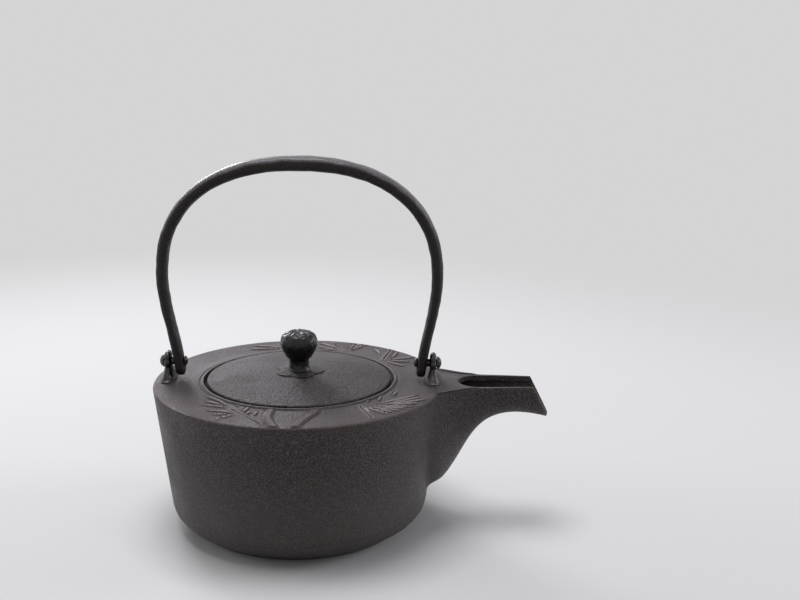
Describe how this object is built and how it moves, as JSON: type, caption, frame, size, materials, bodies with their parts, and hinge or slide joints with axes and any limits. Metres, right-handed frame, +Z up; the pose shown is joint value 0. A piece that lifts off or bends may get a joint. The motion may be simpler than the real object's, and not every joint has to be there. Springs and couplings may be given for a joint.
{
  "type": "cast iron teapot",
  "caption": "Squat round cast iron pouring kettle with a half-open side spout, a tall swinging bail handle pinned to ears on the shoulder, and a lift-off domed lid with a bud knob.",
  "frame": {"origin": "middle of the flat foot, on the pot's axis at table level", "axes": "+X from the pot's axis towards the spout, +Z up along the pot's axis, +Y to the left of the spout"},
  "size_m": [0.2012, 0.1474, 0.189],
  "materials": {
    "cast_body": "fine sand-cast skin, dark brown lacquer finish",
    "lid_iron": "fine pitted cast skin, grey-brown",
    "black_iron": "forged and blackened",
    "handle_iron": "hammered and blackened",
    "knob_iron": "blackened, slightly glossy",
    "pin_iron": "hammered rivet, blackened",
    "washer_iron": "plain dark iron"
  },
  "bodies": {
    "pot": {"body": "cast_body", "front_ear": "black_iron", "rear_ear": "black_iron", "front_ear_washer": "washer_iron", "rear_ear_washer": "washer_iron", "front_pin": "pin_iron", "rear_pin": "pin_iron"},
    "handle": {"handle": "handle_iron"},
    "lid": {"lid": "lid_iron", "knob": "knob_iron", "knob_seat": "knob_iron", "knob_washer": "washer_iron"}
  },
  "joints": [
    {"name": "handle_swing", "type": "hinge", "parent": "pot", "child": "handle", "pos_m": [0, 0, 0.0837], "axis": [1, 0, 0], "range_deg": [-98, 98]},
    {"name": "lid_lift", "type": "slide", "parent": "pot", "child": "lid", "axis": [0, 0, 1], "range_m": [0, 0.06]}
  ]
}
